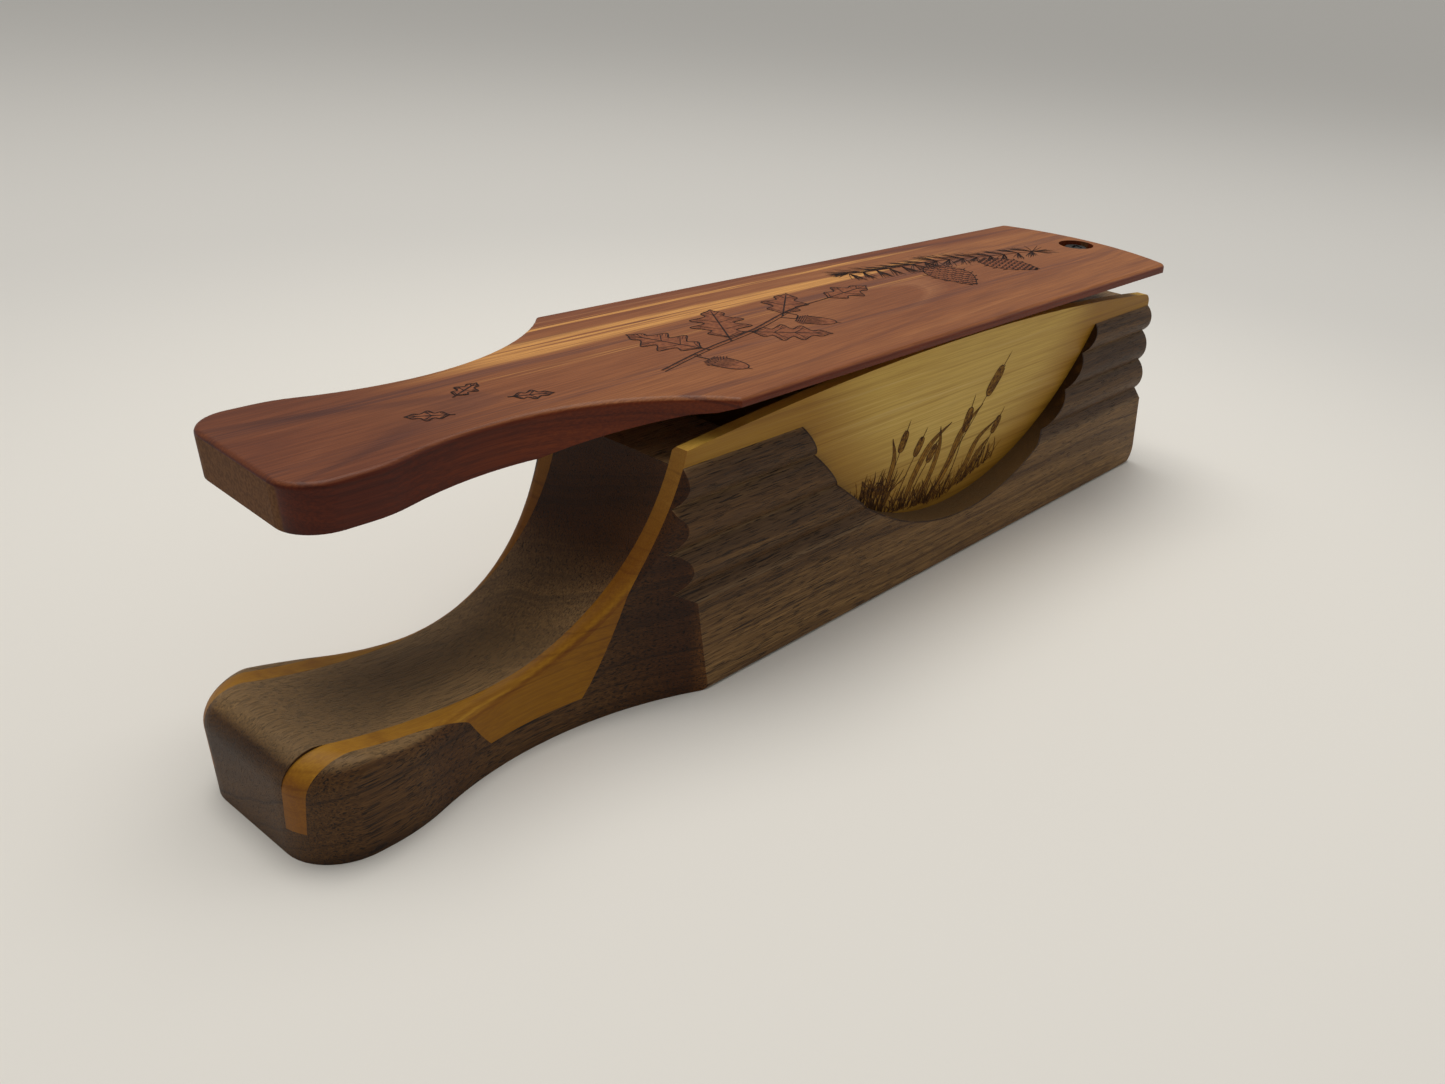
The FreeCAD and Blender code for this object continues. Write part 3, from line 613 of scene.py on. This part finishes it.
def oak_spray():
    """A leafy oak twig with two acorns, for the middle of the paddle."""
    art = Drawing(3)
    twig = [(-176, -12), (-160, -7), (-142, -3), (-124, 3), (-108, 5)]
    art.line(twig, 1.0, 1, (1, 0.5), 24)
    art.line(twig, 0.5, 0, (1, 0.5), 24)
    art.line([(-176, -13), (-160, -8.2), (-142, -4.2), (-124, 2.2)], 0.3, 0, (1, 0.5), 20)
    art.leaf((-160, -6), 1.95, 19, 6.5, 4)
    art.leaf((-150, -4), 1.05, 22, 7.5, 4)
    art.leaf((-143, -4), -0.72, 19, 6.2, 4)
    art.leaf((-127, 2), 0.75, 18, 6.0, 3)
    art.leaf((-108, 5), 0.12, 17, 5.5, 3)
    art.acorn((-163, -15), -1.3, 6.5)
    art.acorn((-126, -5), -0.95, 6.5)
    art.line([(-126, 2), (-125, -1), (-127.4, -3)], 0.4, 0, (1, 1), 6)
    art.line([(-164, -8), (-163.5, -10)], 0.4, 0, (1, 1), 4)
    return art


def pine_bough():
    """A pine bough with two cones, for the pivot end of the paddle."""
    art = Drawing(8)
    bough = [(-86, 18), (-70, 15), (-54, 13), (-38, 8), (-20, 3)]
    art.line(bough, 1.1, 1, (0.6, 0.4), 24)
    art.line(bough, 0.5, 0, (0.6, 0.4), 24)
    for i, point in enumerate(curve(bough, 15)):
        heading = 0.35 if i < 7 else -0.25
        for side in (-1, 1):
            art.needles(point, heading + math.pi + side * 0.9, 8.5, 12, 0.22)
    art.needles((-20, 3), -0.25, 9, 16, 0.5)
    art.needles((-86, 18), math.pi - 0.3, 7, 12, 0.4)
    art.cone((-60, 10), -1.85, 21, 6.6)
    art.cone((-42, 6), -1.25, 18, 6.0)
    return art


def leaf_trail():
    """Three small falling leaves for the handle."""
    art = Drawing(5)
    for base, angle in (((-216, 1), 0.5), ((-208, -6), -0.4), ((-222, -7), 2.6)):
        art.leaf(base, angle, 8, 2.6, 3)
    return art


def reed_bed(seed):
    """Reed mace, reed leaves and grass for the panel in the scoop."""
    art = Drawing(seed)
    art.grass((1, 24), (14, 18), 9, 90, 0.0)
    art.grass((14, 18), (40, 15), 8, 120, 0.2)
    art.grass((40, 15), (64, 21), 8, 80, 0.3)
    art.grass((4, 26), (16, 24), 8, 60, 0.1)
    art.blade([(12, 19), (14, 27), (15, 34), (13, 40)], 1.9)
    art.blade([(22, 17), (26, 27), (31, 34), (39, 38)], 2.3)
    art.blade([(34, 15), (41, 25), (45, 34), (53, 40)], 2.6)
    art.blade([(28, 16), (33, 24), (35, 32), (34, 38)], 2.0)
    art.blade([(44, 16), (50, 22), (54, 29), (62, 33)], 2.2)
    art.blade([(50, 17), (55, 24), (60, 28)], 1.7)
    art.blade([(9, 21), (6, 27), (3, 31)], 1.5)
    art.cattail([(13, 19), (15, 28), (17, 35)], 6.0, 2.7)
    art.cattail([(18, 18), (21, 26), (24, 32)], 5.6, 2.6)
    art.cattail([(25, 17), (27, 23), (30.5, 28.5)], 5.4, 2.6)
    art.cattail([(33, 15), (41, 25), (48, 34), (54, 42)], 9.5, 3.8)
    art.cattail([(40, 15), (44, 24), (46, 33)], 7.5, 3.2)
    art.cattail([(54, 18), (58, 24), (61, 29)], 5.6, 2.6)
    return art


# ---------------------------------------------------------------- studio
def add_light(name, energy, size, place, aim, tint):
    """A soft rectangular lamp."""
    lamp = bpy.data.lights.new(name, "AREA")
    lamp.shape = "RECTANGLE"
    lamp.size, lamp.size_y = size
    lamp.energy, lamp.color = energy, tint
    thing = put(name, lamp)
    thing.location = place
    thing.rotation_euler = (Vector(aim) - Vector(place)).to_track_quat("-Z", "Y").to_euler()


def add_sun(name, strength, spread, towards, tint):
    """Light from one direction, softened by its spread."""
    lamp = bpy.data.lights.new(name, "SUN")
    lamp.energy, lamp.angle, lamp.color = strength, spread, tint
    put(name, lamp).rotation_euler = Vector(towards).to_track_quat("-Z", "Y").to_euler()


def add_camera(settings):
    """A camera that looks along its heading and dips below the level, with its picture rolled and shifted."""
    heading, dip, roll = settings.heading, settings.dip, settings.roll
    ahead = Vector((math.cos(dip) * math.cos(heading), math.cos(dip) * math.sin(heading), -math.sin(dip)))
    right = Vector((math.sin(heading), -math.cos(heading), 0.0))
    up = right.cross(ahead)
    cosine, sine = math.cos(roll), math.sin(roll)
    right, up = cosine * right + sine * up, cosine * up - sine * right
    lens = bpy.data.cameras.new("camera")
    lens.lens = settings.lens
    lens.shift_x, lens.shift_y = settings.shift
    lens.clip_start, lens.clip_end = 0.01, 50.0
    thing = put("camera", lens)
    turn = Matrix((right, up, -ahead)).transposed().to_4x4()
    thing.matrix_world = Matrix.Translation(settings.camera_place) @ turn
    bpy.context.scene.camera = thing


def make_floor():
    """A wide sheet of paper, with a small middle square so that the shadows near the call stay exact."""
    wide, middle = 40.0, 1.0
    marks = (-wide, -middle, middle, wide)
    points = [(x, y, 0.0) for y in marks for x in marks]
    corners = [4 * row + column for row in range(3) for column in range(3)]
    mesh = bpy.data.meshes.new("floor")
    mesh.from_pydata(points, [], [(c, c + 1, c + 5, c + 4) for c in corners])
    put("floor", mesh)
    graph = Graph("paper")
    # Painted light: the paper is lighter under the call and greyer farther off, like a pool of lamplight.
    under_call, beyond_call = 0.14, 0.44
    far = ((graph.x * graph.x + graph.y * graph.y) ** 0.5).smooth(under_call, beyond_call)
    graph.set("Base Color", graph.mix(colour(229, 226, 220), colour(210, 208, 204), far))
    graph.set("Roughness", 0.8)
    graph.set("Specular IOR Level", 0.1)
    mesh.materials.append(graph.material)


def make_world():
    """An even glow on the call, and a plain grey where the camera looks past the floor."""
    world = bpy.data.worlds.new("studio")
    bpy.context.scene.world = world
    world.use_nodes = True
    tree = world.node_tree
    tree.nodes.clear()
    out = tree.nodes.new("ShaderNodeOutputWorld")
    seen = tree.nodes.new("ShaderNodeBackground")
    glow = tree.nodes.new("ShaderNodeBackground")
    seen.inputs["Color"].default_value = colour(162, 160, 155)
    glow.inputs["Color"].default_value = (1.0, 0.99, 0.96, 1.0)
    glow.inputs["Strength"].default_value = 0.28
    path = tree.nodes.new("ShaderNodeLightPath")
    pick = tree.nodes.new("ShaderNodeMixShader")
    tree.links.new(path.outputs["Is Camera Ray"], pick.inputs[0])
    tree.links.new(glow.outputs[0], pick.inputs[1])
    tree.links.new(seen.outputs[0], pick.inputs[2])
    tree.links.new(pick.outputs[0], out.inputs[0])


# ---------------------------------------------------------------- settings and operators
def colour_property(name, description, default):
    """A colour that the sidebar shows."""
    return bpy.props.FloatVectorProperty(
        name=name, description=description, default=default, size=4, min=0.0, max=1.0, subtype="COLOR")


class BoxCallWoods(bpy.types.PropertyGroup):
    """The main colours of the three woods"""

    cedar_dark: colour_property("Cedar, dark", "The darker bands of the paddle", colour(124, 66, 36))
    cedar_light: colour_property("Cedar, light", "The lighter bands of the paddle", colour(162, 102, 56))
    cedar_sapwood: colour_property("Cedar, sapwood", "The pale streak in the paddle", colour(216, 156, 84))
    walnut_dark: colour_property("Walnut, dark", "The darker bands of the cheeks", colour(106, 76, 42))
    walnut_light: colour_property("Walnut, light", "The lighter bands of the cheeks", colour(147, 112, 67))
    poplar_dark: colour_property("Poplar, dark", "The darker bands of the boards", colour(200, 164, 76))
    poplar_light: colour_property("Poplar, light", "The lighter bands of the boards", colour(216, 184, 100))


class BoxCallMetals(bpy.types.PropertyGroup):
    """The colours of the metal pieces"""

    screw: colour_property("Screw", "Blackened steel, where it is worn", colour(50, 48, 46))
    washer: colour_property("Washer", "Plain steel, where it is bright", colour(190, 188, 184))
    spring: colour_property("Spring", "Spring wire, where it is bright", colour(206, 206, 204))


class BoxCallMarks(bpy.types.PropertyGroup):
    """The colours of the burnt drawings and how far they stand off the wood"""

    on_cedar: colour_property("On cedar", "Burnt lines on the paddle", colour(30, 13, 9))
    on_poplar: colour_property("On poplar", "Burnt lines on the sound boards", colour(64, 36, 7))
    burnt_lift: bpy.props.FloatProperty(
        name="Burnt lift", description="How far the burnt lines stand off the wood",
        default=0.05 * MM, precision=6, unit="LENGTH")
    toned_lift: bpy.props.FloatProperty(
        name="Toned lift", description="How far the toned fills stand off the wood",
        default=0.025 * MM, precision=6, unit="LENGTH")


class BoxCallStage(bpy.types.PropertyGroup):
    """Where the camera stands and how it looks"""

    heading: bpy.props.FloatProperty(
        name="Heading", description="Which way the camera looks, from +X",
        default=math.radians(35.34), subtype="ANGLE")
    dip: bpy.props.FloatProperty(
        name="Dip", description="How far the camera looks down", default=math.radians(28.53), subtype="ANGLE")
    roll: bpy.props.FloatProperty(
        name="Roll", description="Tilt of the camera", default=math.radians(5.03), subtype="ANGLE")
    lens: bpy.props.FloatProperty(name="Lens", description="Focal length in millimetres", default=29.72)
    shift: bpy.props.FloatVectorProperty(
        name="Shift", description="Sideways and upward shift of the lens", default=(-0.1242, 0.0373), size=2)
    camera_place: bpy.props.FloatVectorProperty(
        name="Camera", description="Where the camera stands", default=(-0.2120, -0.1866, 0.1480), size=3,
        subtype="TRANSLATION", unit="LENGTH")


class BOXCALL_OT_woods(bpy.types.Operator):
    """Finish the walnut, poplar and cedar"""

    bl_idname = "boxcall.woods"
    bl_label = "Finish the woods"

    def execute(self, context):
        finish = context.scene.boxcall_woods
        dress("cedar", make_cedar(finish))
        dress("walnut", make_walnut(finish))
        dress("poplar", make_poplar(finish))
        return {"FINISHED"}


class BOXCALL_OT_metals(bpy.types.Operator):
    """Finish the screw, washers and spring"""

    bl_idname = "boxcall.metals"
    bl_label = "Finish the metals"

    def execute(self, context):
        worn = context.scene.boxcall_metals
        black = make_metal("blackened_steel", colour(22, 21, 20), worn.screw, 0.3, 0.6)
        plain = make_metal("washer_steel", colour(150, 148, 142), worn.washer, 0.25, 1.0)
        bright = make_metal("spring_steel", colour(170, 170, 168), worn.spring, 0.2, 1.0)
        dress("screw_steel", black)
        dress("washer_steel", plain)
        dress("spring_steel", bright)
        return {"FINISHED"}


class BOXCALL_OT_drawings(bpy.types.Operator):
    """Burn the drawings of leaves, cones and reeds into the wood"""

    bl_idname = "boxcall.drawings"
    bl_label = "Burn the drawings"

    def execute(self, context):
        marks = context.scene.boxcall_marks
        red = (make_burnt("burnt_cedar", marks.on_cedar, colour(56, 27, 18)),
               make_burnt("toned_cedar", colour(116, 64, 40), colour(140, 84, 52)))
        pale = (make_burnt("burnt_poplar", marks.on_poplar, colour(100, 62, 13)),
                make_burnt("toned_poplar", colour(114, 76, 18), colour(150, 106, 32)))
        oak_spray().lay("burnt_oak_spray", "paddle", paddle_place, "cedar", "lid", red)
        pine_bough().lay("burnt_pine_bough", "paddle", paddle_place, "cedar", "lid", red)
        leaf_trail().lay("burnt_leaf_trail", "paddle", paddle_place, "cedar", "lid", red)
        reed_bed(4).lay("burnt_reeds_right", "sound_board_right", right_board_place, "poplar", "box", pale)
        reed_bed(9).lay("burnt_reeds_left", "sound_board_left", left_board_place, "poplar", "box", pale)
        return {"FINISHED"}


class BOXCALL_OT_stage(bpy.types.Operator):
    """Set up the camera, the lights and the floor"""

    bl_idname = "boxcall.stage"
    bl_label = "Set the stage"

    def execute(self, context):
        add_camera(context.scene.boxcall_stage)
        make_floor()
        make_world()
        add_sun("ceiling", strength=0.9, spread=math.radians(50.0),
                towards=(0.0, -0.16, -1.0), tint=(1.0, 0.98, 0.94))
        add_light("overhead", energy=4.9, size=(0.9, 0.7),
                  place=(0.12, 0.24, 1.0), aim=(0.0, 0.0, 0.0), tint=(1.0, 0.97, 0.92))
        add_light("right_window", energy=1.3, size=(0.8, 0.6),
                  place=(1.1, -0.7, 0.5), aim=(0.1, 0.0, 0.03), tint=(0.92, 0.96, 1.0))
        context.scene.view_settings.view_transform = "Standard"
        return {"FINISHED"}


class BOXCALL_PT_panel(bpy.types.Panel):
    """The steps that make the scene, and the camera's settings"""

    bl_label = "Box Call"
    bl_space_type = "VIEW_3D"
    bl_region_type = "UI"
    bl_category = "Box Call"

    def draw(self, context):
        for operator in OPERATORS:
            self.layout.operator(operator.bl_idname)
        for name, group in SETTINGS.items():
            for item in group.__annotations__:
                self.layout.prop(getattr(context.scene, name), item)


OPERATORS = (BOXCALL_OT_woods, BOXCALL_OT_metals, BOXCALL_OT_drawings, BOXCALL_OT_stage)
SETTINGS = {
    "boxcall_woods": BoxCallWoods,
    "boxcall_metals": BoxCallMetals,
    "boxcall_marks": BoxCallMarks,
    "boxcall_stage": BoxCallStage,
}
CLASSES = (*SETTINGS.values(), *OPERATORS, BOXCALL_PT_panel)


def register():
    for cls in CLASSES:
        bpy.utils.register_class(cls)
    for name, group in SETTINGS.items():
        setattr(bpy.types.Scene, name, bpy.props.PointerProperty(type=group))


def unregister():
    for name in SETTINGS:
        delattr(bpy.types.Scene, name)
    for cls in reversed(CLASSES):
        bpy.utils.unregister_class(cls)


def main():
    register()
    for operator in OPERATORS:
        group, action = operator.bl_idname.split(".")
        getattr(getattr(bpy.ops, group), action)()
    bpy.context.view_layer.update()


if __name__ == "__main__":
    main()
